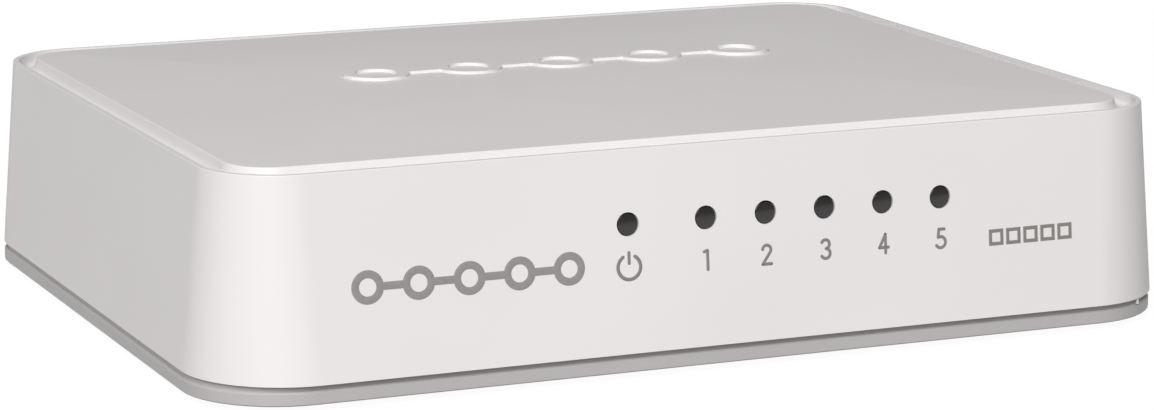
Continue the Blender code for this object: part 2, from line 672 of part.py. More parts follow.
# ------------------------------------------------------------------ ports
def jack_housing(material):
    """Black block with five plug cavities, each with its latch channel."""
    low = BOARD_TOP_Z + SEAT
    block = soft_box((JACK_X - JACK_HALF_X, JACK_FACE_Y - JACK_DEPTH, low),
                     (JACK_X + JACK_HALF_X, JACK_FACE_Y, low + JACK_HEIGHT), 0.3, 1)
    housing = mesh_object("jack_housing", block, material)
    plugs = bmesh.new()
    latches = bmesh.new()
    floor = low + CAVITY_FLOOR
    inner = JACK_FACE_Y - CAVITY_DEPTH
    for x in port_positions():
        add_box(plugs, (x - CAVITY_WIDTH / 2, inner, floor),
                (x + CAVITY_WIDTH / 2, JACK_FACE_Y + 2.0, floor + CAVITY_HEIGHT))
        add_box(latches, (x - NOTCH_WIDTH / 2, inner + 1.5, floor + CAVITY_HEIGHT - 1.0),
                (x + NOTCH_WIDTH / 2, JACK_FACE_Y + 3.0, floor + CAVITY_HEIGHT + NOTCH_HEIGHT))
    boolean(housing, helper("cut_plug_spaces", plugs), "DIFFERENCE")
    boolean(housing, helper("cut_latch_channels", latches), "DIFFERENCE")


def contact_combs(material):
    """Sprung contacts of each port: eight wires rising from a root strip on the joint axis."""
    outline = []
    span = CONTACT_PITCH * (CONTACT_WIRES - 1) + CONTACT_WIDTH
    outline.append((-span / 2, CONTACT_ROOT / 2))
    for index in range(CONTACT_WIRES):
        left = -span / 2 + CONTACT_PITCH * index
        outline.append((left, -CONTACT_LENGTH))
        outline.append((left + CONTACT_WIDTH, -CONTACT_LENGTH))
        if index < CONTACT_WIRES - 1:
            outline.append((left + CONTACT_WIDTH, -CONTACT_ROOT / 2))
            outline.append((left + CONTACT_PITCH, -CONTACT_ROOT / 2))
    outline.append((span / 2, CONTACT_ROOT / 2))
    bm = bmesh.new()
    face = bm.faces.new([bm.verts.new((x, y, -CONTACT_THICK / 2)) for x, y in outline])
    grown = bmesh.ops.extrude_face_region(bm, geom=[face])["geom"]
    raised = [item for item in grown if isinstance(item, bmesh.types.BMVert)]
    bmesh.ops.translate(bm, vec=(0.0, 0.0, CONTACT_THICK), verts=raised)
    bmesh.ops.rotate(bm, cent=(0, 0, 0), matrix=Matrix.Rotation(-CONTACT_RISE, 3, "X"), verts=bm.verts)
    first = mesh_object("port_contacts_1", bm, material)
    places = port_positions()
    first.location = (places[0] * MM, CONTACT_AXIS_Y * MM, CONTACT_AXIS_Z * MM)
    for index, x in enumerate(places[1:]):
        copy_object(first, "port_contacts_" + str(index + 2), x - places[0], 0.0)


# ------------------------------------------------------------------ power inlet
def power_inlet(finishes):
    """Barrel inlet: black block, centre pin and the sleeve spring under the bore."""
    low = BOARD_TOP_Z + SEAT
    block = soft_box((INLET_X - INLET_HALF_X, JACK_FACE_Y - INLET_DEPTH, low),
                     (INLET_X + INLET_HALF_X, JACK_FACE_Y, low + INLET_HEIGHT), 0.3, 1)
    housing = mesh_object("dc_inlet_housing", block, finishes["socket"])
    bore = bmesh.new()
    add_cylinder(bore, (INLET_X, JACK_FACE_Y - INLET_BORE_DEPTH / 2 + 2.0, INLET_AXIS_Z),
                 INLET_BORE, INLET_BORE_DEPTH + 4.0, "Y", 32)
    boolean(housing, helper("cut_inlet_bore", bore), "DIFFERENCE")
    pocket = bmesh.new()
    add_box(pocket, (INLET_X - 1.5, JACK_FACE_Y - INLET_BORE_DEPTH + 0.5, INLET_AXIS_Z - 4.6),
            (INLET_X + 1.5, JACK_FACE_Y - 1.6, INLET_AXIS_Z - 1.0))
    boolean(housing, helper("cut_inlet_pocket", pocket), "DIFFERENCE")
    pin_length = INLET_BORE_DEPTH - GAP - 1.0
    profile = [(0.0, pin_length), (0.6, pin_length), (1.0, pin_length - 0.5), (1.0, 0.6),
               (1.5, 0.5), (1.5, 0.0), (0.0, 0.0)]
    pin = turned("dc_inlet_pin", profile, 20, finishes["nickel"])
    pin.rotation_euler = (math.radians(-90.0), 0.0, 0.0)
    pin.location = (INLET_X * MM, (JACK_FACE_Y - INLET_BORE_DEPTH + SEAT) * MM, INLET_AXIS_Z * MM)
    leaf = bmesh.new()
    add_box(leaf, (-1.1, -6.4, -0.15), (1.1, 0.3, 0.15))
    slope = Matrix.Rotation(math.radians(-9.0), 3, "X")
    bmesh.ops.rotate(leaf, cent=(0, 0, 0), matrix=slope, verts=leaf.verts)
    spring = mesh_object("dc_inlet_spring", leaf, finishes["nickel"])
    spring.location = (INLET_X * MM, (JACK_FACE_Y - 2.3) * MM, (INLET_AXIS_Z - 3.9) * MM)


def build():
    """Build every piece of the switch."""
    clear_scene()
    finishes = {
        "shell": finish("white_abs", 0.80, 0.79, 0.775, 0.42),
        "tray": finish("grey_abs", 0.44, 0.435, 0.43, 0.5),
        "rubber": finish("foot_rubber", 0.03, 0.03, 0.03, 0.8),
        "steel": finish("zinc_plated_steel", 0.62, 0.62, 0.63, 0.32, 1.0),
        "label": finish("label_foil", 0.72, 0.72, 0.72, 0.45),
        "board": finish("solder_mask_green", 0.02, 0.14, 0.06, 0.4),
        "chip": finish("moulding_compound", 0.02, 0.02, 0.021, 0.55),
        "pad": finish("silicone_pad", 0.35, 0.37, 0.42, 0.85),
        "sink": finish("anodised_aluminium", 0.55, 0.56, 0.58, 0.4, 1.0),
        "magnetics": finish("potting_shell", 0.025, 0.025, 0.027, 0.5),
        "can": finish("nickel_can", 0.66, 0.65, 0.62, 0.25, 1.0),
        "sleeve": finish("capacitor_sleeve", 0.03, 0.035, 0.09, 0.4),
        "ferrite": finish("pressed_ferrite", 0.06, 0.06, 0.065, 0.65),
        "lens": finish("smoked_acrylic", 0.05, 0.046, 0.045, 0.12),
        "diode": finish("diode_epoxy", 0.75, 0.74, 0.66, 0.4),
        "holder": finish("black_polyamide", 0.022, 0.022, 0.022, 0.6),
        "jack": finish("black_pbt", 0.02, 0.02, 0.02, 0.5),
        "gold": finish("gold_flashed_bronze", 0.83, 0.6, 0.25, 0.25, 1.0),
        "socket": finish("inlet_polyamide", 0.018, 0.018, 0.018, 0.45),
        "nickel": finish("nickel_plated_brass", 0.68, 0.66, 0.6, 0.22, 1.0),
    }
    top_shell(finishes["shell"])
    base_tray(finishes["tray"])
    feet(finishes["rubber"])
    case_screws(finishes["steel"])
    rating_label(finishes["label"])
    pcb(finishes["board"])
    board_screws(finishes["steel"])
    heat_sink(finishes["pad"], finishes["sink"])
    magnetics(finishes["magnetics"])
    small_parts(finishes)
    light_path(finishes["lens"], finishes["diode"], finishes["holder"])
    jack_housing(finishes["jack"])
    contact_combs(finishes["gold"])
    power_inlet(finishes)


if __name__ == "__main__":
    build()
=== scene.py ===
"""Looks of a five-port desktop network switch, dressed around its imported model.

The frame is the model's own: metres, +X along the long side, -Y the indicator side,
+Y the port side, +Z up, and the feet stand on z = 0. Sizes below are in millimetres
unless a name says otherwise, and MM turns them into metres.
"""
from __future__ import annotations

import json
import logging
import math
from collections.abc import Sequence
from dataclasses import dataclass
from enum import Enum
from functools import cache

import bmesh
import bpy
from mathutils import Matrix, Quaternion, Vector
from mathutils.bvhtree import BVHTree

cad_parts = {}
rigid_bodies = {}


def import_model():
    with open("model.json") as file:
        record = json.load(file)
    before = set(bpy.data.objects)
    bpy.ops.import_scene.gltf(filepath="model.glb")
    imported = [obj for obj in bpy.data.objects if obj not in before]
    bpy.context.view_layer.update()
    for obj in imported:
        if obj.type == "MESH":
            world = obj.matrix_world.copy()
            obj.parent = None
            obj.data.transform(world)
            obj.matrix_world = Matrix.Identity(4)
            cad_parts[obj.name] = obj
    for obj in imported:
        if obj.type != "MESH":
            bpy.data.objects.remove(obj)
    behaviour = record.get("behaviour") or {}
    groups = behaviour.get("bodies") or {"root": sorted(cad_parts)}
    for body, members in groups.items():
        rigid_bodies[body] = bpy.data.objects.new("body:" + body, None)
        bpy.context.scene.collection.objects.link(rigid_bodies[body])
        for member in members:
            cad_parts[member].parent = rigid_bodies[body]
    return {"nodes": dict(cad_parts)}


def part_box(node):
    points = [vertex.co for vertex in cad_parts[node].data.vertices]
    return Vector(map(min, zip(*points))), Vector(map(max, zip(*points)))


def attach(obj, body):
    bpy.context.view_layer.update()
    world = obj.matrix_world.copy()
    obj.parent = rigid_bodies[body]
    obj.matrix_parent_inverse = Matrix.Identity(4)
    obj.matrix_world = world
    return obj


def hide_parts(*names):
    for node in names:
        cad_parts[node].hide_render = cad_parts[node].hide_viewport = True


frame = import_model()

LOG = logging.getLogger("network_switch")
MM = 0.001
CASE = "case"               # the body that everything but the sprung contacts rides on
WELD = 1e-6                 # metres within which two corners are the same corner
FLAT = math.radians(0.02)   # faces closer than this in angle are one flat face
CREASE = 30.0               # degrees from which an edge stays sharp
PORTS = 5
FRONT = -1.0                # direction along Y in which the indicator wall faces
REAR = 1.0                  # and the port wall
ROUND_STEPS = 48            # steps of a full turn in the indicator windows

Point = tuple[float, float]
Path = list[Point]


class Slot(Enum):
    """The record's material slots."""

    SHELL = "shell_white"
    TRAY = "tray_grey"
    RUBBER = "foot_rubber"
    STEEL = "screw_steel"
    LABEL = "label_foil"
    BOARD = "board_mask"
    CHIP = "chip_black"
    PAD = "pad_grey"
    SINK = "sink_aluminium"
    MAGNETICS = "magnetics_black"
    CAN = "crystal_can"
    SLEEVE = "capacitor_sleeve"
    FERRITE = "ferrite"
    LENS = "lens_smoked"
    DIODE = "diode"
    HOLDER = "holder_black"
    JACK = "jack_black"
    CONTACT = "contact_gold"
    INLET = "inlet_black"
    NICKEL = "inlet_nickel"


# ---------------------------------------------------------------- finishes
def linear(colour: str) -> tuple[float, float, float, float]:
    """Turn an sRGB hex colour into linear light.

    Args:
        colour: Six hex digits after a hash.

    Returns:
        Red, green and blue in linear light, and an alpha of 1.
    """
    channels = [int(colour[start:start + 2], 16) / 255.0 for start in (1, 3, 5)]
    light = [c / 12.92 if c <= 0.04045 else ((c + 0.055) / 1.055) ** 2.4 for c in channels]
    return (light[0], light[1], light[2], 1.0)


def add_node(tree: bpy.types.NodeTree, kind: str, inputs: dict[str | int, object] | None = None,
             **settings: object) -> bpy.types.Node:
    """Add a shader node with its settings, values and links.

    Args:
        tree: Node tree of the material.
        kind: Blender's name of the node type.
        inputs: Value, or output socket to link, for each named or numbered input.
        **settings: Properties of the node itself.

    Returns:
        The new node.
    """
    node = tree.nodes.new(kind)
    for name, value in settings.items():
        setattr(node, name, value)
    for name, value in (inputs or {}).items():
        if isinstance(value, bpy.types.NodeSocket):
            tree.links.new(value, node.inputs[name])
        else:
            node.inputs[name].default_value = value
    return node


@dataclass(frozen=True)
class Finish:
    """A surface on a Principled shader; each subclass adds what its process leaves."""

    name: str
    colour: str
    roughness: float

    def shade(self, tree: bpy.types.NodeTree, shader: bpy.types.Node, place: bpy.types.NodeSocket) -> None:
        """Add the pattern of the process.

        Args:
            tree: Node tree of the material.
            shader: Its Principled shader.
            place: Object coordinates in metres.
        """
        raise NotImplementedError

    def material(self) -> bpy.types.Material:
        """Make the material, or return it if it is there already.

        Returns:
            The material of this finish.
        """
        material = bpy.data.materials.get(self.name)
        if material is None:
            material = bpy.data.materials.new(self.name)
            material.use_nodes = True
            tree = material.node_tree
            shader = tree.nodes["Principled BSDF"]
            shader.inputs["Base Color"].default_value = linear(self.colour)
            shader.inputs["Roughness"].default_value = self.roughness
            place = add_node(tree, "ShaderNodeTexCoord").outputs["Object"]
            self.shade(tree, shader, place)
            material.diffuse_color = linear(self.colour)
        return material

    def vary(self, tree: bpy.types.NodeTree, shader: bpy.types.Node, place: bpy.types.NodeSocket,
             other: str, patch: float, share: float) -> None:
        """Let the colour drift towards another one in soft patches.

        Args:
            tree: Node tree of the material.
            shader: Its Principled shader.
            place: Coordinates in metres.
            other: Hex colour of the patches.
            patch: Size of a patch in millimetres.
            share: How much of the other colour shows at most.
        """
        cloud = add_node(tree, "ShaderNodeTexNoise",
                         {"Vector": place, "Scale": 1 / (patch * MM), "Detail": 3.0})
        amount = add_node(tree, "ShaderNodeMapRange",
                          {"Value": cloud.outputs["Fac"], "From Min": 0.3, "From Max": 0.7, "To Max": share})
        mix = add_node(tree, "ShaderNodeMix", {"Factor": amount.outputs["Result"], "A": linear(self.colour),
                                               "B": linear(other)}, data_type="RGBA")
        tree.links.new(mix.outputs["Result"], shader.inputs["Base Color"])

    def grain(self, tree: bpy.types.NodeTree, shader: bpy.types.Node, place: bpy.types.NodeSocket,
              pitch: float, depth: float, detail: float = 2.0) -> bpy.types.Node:
        """Roughen the surface with a fine bump.

        Args:
            tree: Node tree of the material.
            shader: Its Principled shader.
            place: Coordinates in metres.
            pitch: Width of a grain in millimetres.
            depth: Height of a grain in millimetres.
            detail: Octaves of finer noise.

        Returns:
            The noise node, for what else follows the grain.
        """
        noise = add_node(tree, "ShaderNodeTexNoise",
                         {"Vector": place, "Scale": 1 / (pitch * MM), "Detail": detail})
        bump = add_node(tree, "ShaderNodeBump", {"Height": noise.outputs["Fac"], "Distance": depth * MM})
        tree.links.new(bump.outputs["Normal"], shader.inputs["Normal"])
        return noise


@dataclass(frozen=True)
class MouldedPlastic(Finish):
    """Injection-moulded polymer: an even body colour under the eroded grain of the tool."""

    other: str = "#000000"
    ior: float = 1.53
    pitch: float = 0.45     # real grain is near 0.1 mm; drawn coarser so that it shows
    depth: float = 0.004
    patch: float = 28.0
    share: float = 0.06
    gloss_drift: float = 0.05

    def shade(self, tree: bpy.types.NodeTree, shader: bpy.types.Node, place: bpy.types.NodeSocket) -> None:
        """Add grain, slow colour drift and a slightly uneven sheen; arguments as in Finish."""
        shader.inputs["IOR"].default_value = self.ior
        noise = self.grain(tree, shader, place, self.pitch, self.depth)
        self.vary(tree, shader, place, self.other, self.patch, self.share)
        sheen = add_node(tree, "ShaderNodeMapRange",
                         {"Value": noise.outputs["Fac"], "To Min": self.roughness - self.gloss_drift,
                          "To Max": self.roughness + self.gloss_drift})
        tree.links.new(sheen.outputs["Result"], shader.inputs["Roughness"])


@dataclass(frozen=True)
class SmokedAcrylic(Finish):
    """Polished dark acrylic: the eye sees a near-black depth under a clear, glossy face."""

    ior: float = 1.49
    coat: float = 0.3
    coat_roughness: float = 0.08
    other: str = "#1D1A19"
    patch: float = 0.9
    share: float = 0.6
    pitch: float = 0.6
    depth: float = 0.002

    def shade(self, tree: bpy.types.NodeTree, shader: bpy.types.Node, place: bpy.types.NodeSocket) -> None:
        """Add the clear face and a faint flow pattern in the dye; arguments as in Finish."""
        shader.inputs["IOR"].default_value = self.ior
        shader.inputs["Coat Weight"].default_value = self.coat
        shader.inputs["Coat Roughness"].default_value = self.coat_roughness
        self.vary(tree, shader, place, self.other, self.patch, self.share)
        self.grain(tree, shader, place, self.pitch, self.depth)


@dataclass(frozen=True)
class MoistRubber(Finish):
    """Cast elastomer: a dead-matt black with pale dust caught in its pores."""

    other: str = "#2E2D2C"
    ior: float = 1.52
    patch: float = 1.2
    share: float = 0.7
    pitch: float = 0.35
    depth: float = 0.02
    octaves: float = 4.0

    def shade(self, tree: bpy.types.NodeTree, shader: bpy.types.Node, place: bpy.types.NodeSocket) -> None:
        """Add pores and dust; arguments as in Finish."""
        shader.inputs["IOR"].default_value = self.ior
        self.vary(tree, shader, place, self.other, self.patch, self.share)
        self.grain(tree, shader, place, self.pitch, self.depth, self.octaves)


@dataclass(frozen=True)
class PlatedMetal(Finish):
    """Plated or anodised metal: a tinted mirror broken by drawing lines and handling haze."""

    other: str = "#808080"
    stretch: tuple[float, float, float] = (1.0, 1.0, 1.0)
    line: float = 0.12      # spacing of the drawing lines
    depth: float = 0.002
    octaves: float = 3.0
    patch: float = 1.6
    share: float = 0.35
    smoother: float = 0.06  # how far the roughness falls on the crests of the lines
    rougher: float = 0.1    # and how far it rises between them

    def shade(self, tree: bpy.types.NodeTree, shader: bpy.types.Node, place: bpy.types.NodeSocket) -> None:
        """Add lines along the drawn direction, tarnish and an uneven shine; arguments as in Finish."""
        shader.inputs["Metallic"].default_value = 1.0
        along = add_node(tree, "ShaderNodeMapping", {"Vector": place, "Scale": self.stretch})
        noise = self.grain(tree, shader, along.outputs["Vector"], self.line, self.depth, self.octaves)
        self.vary(tree, shader, place, self.other, self.patch, self.share)
        shine = add_node(tree, "ShaderNodeMapRange",
                         {"Value": noise.outputs["Fac"], "To Min": self.roughness - self.smoother,
                          "To Max": self.roughness + self.rougher})
        tree.links.new(shine.outputs["Result"], shader.inputs["Roughness"])


@dataclass(frozen=True)
class SolderMask(Finish):
    """Green lacquer over etched copper: tracks show through as paler, raised lines."""

    track: str = "#3F8A55"
    ior: float = 1.5
    coat: float = 0.4
    coat_roughness: float = 0.2
    pitch: float = 2.4      # real tracks lie closer; drawn coarser so that they show
    jitter: float = 0.55
    edges: Point = (0.05, 0.09)     # where a track ends, as shares of the pitch
    raised: float = 0.02

    def shade(self, tree: bpy.types.NodeTree, shader: bpy.types.Node, place: bpy.types.NodeSocket) -> None:
        """Add tracks as the edges of a stepped cell pattern; arguments as in Finish."""
        shader.inputs["IOR"].default_value = self.ior
        shader.inputs["Coat Weight"].default_value = self.coat
        shader.inputs["Coat Roughness"].default_value = self.coat_roughness
        cells = add_node(tree, "ShaderNodeTexVoronoi",
                         {"Vector": place, "Scale": 1 / (self.pitch * MM), "Randomness": self.jitter},
                         feature="DISTANCE_TO_EDGE", distance="EUCLIDEAN")
        lines = add_node(tree, "ShaderNodeMapRange",
                         {"Value": cells.outputs["Distance"], "From Min": self.edges[0],
                          "From Max": self.edges[1], "To Min": 1.0, "To Max": 0.0})
        mix = add_node(tree, "ShaderNodeMix", {"Factor": lines.outputs["Result"], "A": linear(self.colour),
                                               "B": linear(self.track)}, data_type="RGBA")
        tree.links.new(mix.outputs["Result"], shader.inputs["Base Color"])
        bump = add_node(tree, "ShaderNodeBump",
                        {"Height": lines.outputs["Result"], "Distance": self.raised * MM})
        tree.links.new(bump.outputs["Normal"], shader.inputs["Normal"])


@dataclass(frozen=True)
class Ink(Finish):
    """Pad-printed ink: a thin, flat, slightly speckled film."""

    other: str = "#A6A29F"
    ior: float = 1.48
    patch: float = 0.5
    share: float = 0.3
    pitch: float = 0.4
    depth: float = 0.003

    def shade(self, tree: bpy.types.NodeTree, shader: bpy.types.Node, place: bpy.types.NodeSocket) -> None:
        """Add the speckle of a thin film; arguments as in Finish."""
        shader.inputs["IOR"].default_value = self.ior
        self.vary(tree, shader, place, self.other, self.patch, self.share)
        self.grain(tree, shader, place, self.pitch, self.depth)


# White ABS, spark-eroded tool: a soft satin that takes light evenly.
SHELL_WHITE = MouldedPlastic("moulded_white_abs", "#E9E6E5", 0.5, other="#E1DDDC", share=0.35, pitch=0.4)
# Grey ABS from a plainer tool: flatter and a little coarser than the cover.
TRAY_GREY = MouldedPlastic("moulded_grey_abs", "#B9B6B5", 0.48, other="#AFACAA", share=0.4, depth=0.006)
# Cast elastomer feet: a dull black that dust turns grey in patches.
FOOT_RUBBER = MoistRubber("cast_black_rubber", "#191918", 0.82)
# Zinc plate on steel: bluish, bright, with a faint haze.
ZINC_STEEL = PlatedMetal("zinc_plated_steel", "#C9CACC", 0.3, other="#9EA3A8")
# Matt silver polyester label stock.
LABEL_FOIL = PlatedMetal("matt_silver_label_stock", "#D9DADB", 0.42, other="#C7C9CB",
                         stretch=(0.1, 1.0, 1.0))
# Black label ink: crisp, flat bars on the silver.
LABEL_INK = Ink("black_label_ink", "#262626", 0.5, other="#3A3A3A")
# Green lacquer on the board: glossy, with the copper paler under it.
BOARD_MASK = SolderMask("green_solder_mask", "#1B5A33", 0.35)
# Epoxy moulding compound: charcoal with the silica filler just showing.
CHIP_EPOXY = MouldedPlastic("epoxy_moulding_compound", "#252526", 0.55, other="#39393A", ior=1.55,
                            pitch=0.25, depth=0.004, patch=0.8, share=0.5)
# Filled silicone sheet: a soft, chalky grey.
THERMAL_SILICONE = MouldedPlastic("grey_silicone_pad", "#9BA0A8", 0.75, other="#8A8F98", ior=1.41, pitch=0.5,
                                  depth=0.02, patch=2.0, share=0.4)
# Clear-anodised extrusion: a pale satin with lines along the fins.
SINK_ALUMINIUM = PlatedMetal("anodised_aluminium", "#B9BBBE", 0.38, other="#A3A6AA",
                             stretch=(1.0, 0.05, 1.0))
# Epoxy-filled transformer shells: a dry, slightly mottled black.
MAGNETICS_SHELL = MouldedPlastic("filled_epoxy_shell", "#2B2B2C", 0.5, other="#3A3A3C", ior=1.55, pitch=0.35,
                                 depth=0.006, patch=3.0, share=0.4)
# Drawn nickel-plated can: a warm, bright mirror with faint lines.
NICKEL_CAN = PlatedMetal("nickel_plated_can", "#CFCBC4", 0.24, other="#B7B2A9", stretch=(0.2, 1.0, 1.0))
# Heat-shrunk vinyl: a dark blue with a tight, wavy shine.
CAP_SLEEVE = MouldedPlastic("shrunk_pvc_sleeve", "#20223A", 0.38, other="#2E3150", ior=1.54, pitch=1.2,
                            depth=0.01, patch=4.0, share=0.4)
# Pressed powder: a dull grey with a coarse, sandy skin.
PRESSED_FERRITE = MouldedPlastic("pressed_ferrite", "#434345", 0.62, other="#57575A", ior=2.0, pitch=0.3,
                                 depth=0.015, patch=1.0, share=0.5)
# Unlit indicator windows: near-black and glossy.
LENS_SMOKED = SmokedAcrylic("smoked_acrylic", "#231F1E", 0.2)
# Phosphor in clear epoxy: a chalky pale yellow.
DIODE_EPOXY = MouldedPlastic("phosphor_filled_epoxy", "#E6DFA8", 0.4, other="#D8CC84", ior=1.5, pitch=0.2,
                             depth=0.003, patch=0.6, share=0.5)
# Plain black polyamide: an even, matt ground for the light guides.
HOLDER_BLACK = MouldedPlastic("black_polyamide", "#262626", 0.55, other="#323232", ior=1.53, depth=0.008)
# Glass-filled PBT: a dry black with pale fibre swirls.
JACK_BLACK = MouldedPlastic("glass_filled_pbt", "#1E1E1F", 0.48, other="#2F2F31", ior=1.57, pitch=0.35,
                            depth=0.008, patch=3.0, share=0.5)
# Gold flash on bronze: a thin bright yellow line in the dark of each jack.
CONTACT_GOLD = PlatedMetal("gold_flashed_bronze", "#E6C36A", 0.24, other="#C99F4A", stretch=(1.0, 0.1, 1.0))
# Polyamide of the inlet: a little glossier than the jacks.
INLET_BLACK = MouldedPlastic("inlet_polyamide", "#1B1B1C", 0.45, other="#2A2A2B", ior=1.53, pitch=0.3,
                             depth=0.006, patch=2.0, share=0.4)
# Nickel plate on brass: a warm mirror on the pin and its spring.
INLET_NICKEL = PlatedMetal("nickel_plated_brass", "#D3CFC6", 0.2, other="#BDB6A6", stretch=(1.0, 0.1, 1.0))
# Grey two-part ink of the front and rear legends.
LEGEND_INK = Ink("grey_legend_ink", "#827D7B", 0.5, other="#949090")
# Silver-grey ink of the large mark: paler and smoother than the legends.
MARK_INK = Ink("silver_grey_mark_ink", "#8F8B8A", 0.42, other="#A19E9D")


# ---------------------------------------------------------------- pieces
def make_piece(name: str, bm: bmesh.types.BMesh, finish: Finish, body: str = CASE,
               replaces: Sequence[str] = (), bevel: float = 0.0) -> bpy.types.Object:
    """Turn a bmesh in metres into a dressed piece that rides on a body.

    Args:
        name: Name of the piece.
        bm: Its shape in place; it is freed here.
        finish: Its surface.
        body: Body that carries the piece.
        replaces: CAD nodes that the piece stands for.
        bevel: Width in millimetres to break the sharp edges by.

    Returns:
        The piece.
    """
    limit = math.radians(CREASE)
    for face in bm.faces:
        face.smooth = True
    for edge in bm.edges:
        edge.smooth = len(edge.link_faces) == 2 and edge.calc_face_angle(math.pi) < limit
    mesh = bpy.data.meshes.new(name)
    bm.to_mesh(mesh)
    bm.free()
    mesh.materials.append(finish.material())
    obj = bpy.data.objects.new(name, mesh)
    bpy.context.scene.collection.objects.link(obj)
    if bevel:
        broken = obj.modifiers.new("broken_edges", "BEVEL")
        broken.width = bevel * MM
        broken.segments = 2
        broken.limit_method = "ANGLE"
        broken.angle_limit = limit
        broken.harden_normals = False
    shading = obj.modifiers.new("even_shading", "WEIGHTED_NORMAL")
    shading.keep_sharp = not bevel
    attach(obj, body)
    if replaces:
        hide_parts(*replaces)
    return obj


def welded(node: str) -> bmesh.types.BMesh:
    """Copy a CAD node's mesh with its triangles joined and its flat faces made whole.

    Args:
        node: Name of the CAD node.

    Returns:
        The merged copy, in place.
    """
    bm = bmesh.new()
    bm.from_mesh(frame["nodes"][node].data)
    bmesh.ops.remove_doubles(bm, verts=bm.verts, dist=WELD)
    bmesh.ops.dissolve_limit(bm, angle_limit=FLAT, verts=bm.verts, edges=bm.edges)
    return bm


def refine(node: str, name: str, finish: Finish, body: str = CASE,
           bevel: float = 0.0) -> bpy.types.Object:
    """Stand a smoothly shaded copy in for a CAD node of the right shape.

    Args:
        node: Name of the CAD node.
        name: Name of the piece.
        finish: Its surface.
        body: Body that carries it.
        bevel: Width in millimetres to break its sharp edges by.

    Returns:
        The piece.
    """
    return make_piece(name, welded(node), finish, body, (node,), bevel)


def turned(profile: Sequence[Point], middle: Vector, steps: int) -> bmesh.types.BMesh:
    """Turn a profile round an upright axis.

    Args:
        profile: Radius and height pairs in millimetres, from axis to axis.
        middle: Point on the axis at height zero, in metres.
        steps: Steps of the full turn.

    Returns:
        The closed turned shape.
    """
    bm = bmesh.new()
    verts = [bm.verts.new((radius * MM, 0.0, height * MM)) for radius, height in profile]
    edges = [bm.edges.new(pair) for pair in zip(verts, verts[1:])]
    bmesh.ops.spin(bm, geom=verts + edges, cent=(0, 0, 0), axis=(0, 0, 1), dvec=(0, 0, 0),
                   angle=math.tau, steps=steps, use_merge=True, use_duplicate=False)
    bmesh.ops.remove_doubles(bm, verts=bm.verts, dist=WELD)
    bmesh.ops.recalc_face_normals(bm, faces=bm.faces)
    bmesh.ops.translate(bm, vec=middle, verts=bm.verts)
    return bm


def middle_of(node: str) -> Vector:
    """Middle of a CAD node's box."""
    low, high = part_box(node)
    return (low + high) / 2


def window_middle(name: str) -> Vector:
    """Middle of the round front end of a light guide.

    Args:
        name: power or port_ and a number.

    Returns:
        The point on the guide's axis at its front.
    """
    low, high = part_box(f"light_guide_{name}")
    radius = (high.x - low.x) / 2
    return Vector(((low.x + high.x) / 2, low.y, high.z - radius))


# ---------------------------------------------------------------- print
@cache
def cover_surface() -> BVHTree:
    """Search tree over the cover's surface, for finding its walls."""
    bm = welded("top_shell")
    tree = BVHTree.FromBMesh(bm)
    bm.free()
    return tree


def arc(centre: Point, radius: float, start: float, end: float, steps: int = 14) -> Path:
    """Points along an arc, angles in degrees from +X."""
    turns = [math.radians(start + (end - start) * step / steps) for step in range(steps + 1)]
    return [(centre[0] + radius * math.cos(turn), centre[1] + radius * math.sin(turn)) for turn in turns]


def digit(value: int) -> list[Path]:
    """Centre lines of a plain digit in a box one unit high about the origin.

    Args:
        value: 1 to 5.

    Returns:
        The paths of its strokes.
    """
    strokes = {
        1: [[(-0.17, 0.45), (0.03, 0.5)], [(0.03, 0.5), (0.03, -0.5)]],
        2: [arc((0.0, 0.26), 0.24, 172.0, -36.0) + [(-0.25, -0.5)], [(-0.25, -0.5), (0.26, -0.5)]],
        3: [arc((-0.01, 0.265), 0.235, 155.0, -78.0), arc((-0.01, -0.235), 0.265, 84.0, -152.0)],
        4: [[(0.1, 0.5), (-0.27, -0.2)], [(-0.27, -0.2), (0.27, -0.2)], [(0.1, 0.5), (0.1, -0.5)]],
        5: [[(0.2, 0.5), (-0.13, 0.5)], [(-0.13, 0.5), (-0.19, 0.07)],
            arc((-0.045, -0.2), 0.3, 118.0, -148.0)],
    }
    return strokes[value]


def scaled(paths: Sequence[Path], size: float) -> list[Path]:
    """Paths of a box one unit high, enlarged to a height in millimetres."""
    return [[(x * size, y * size) for x, y in path] for path in paths]


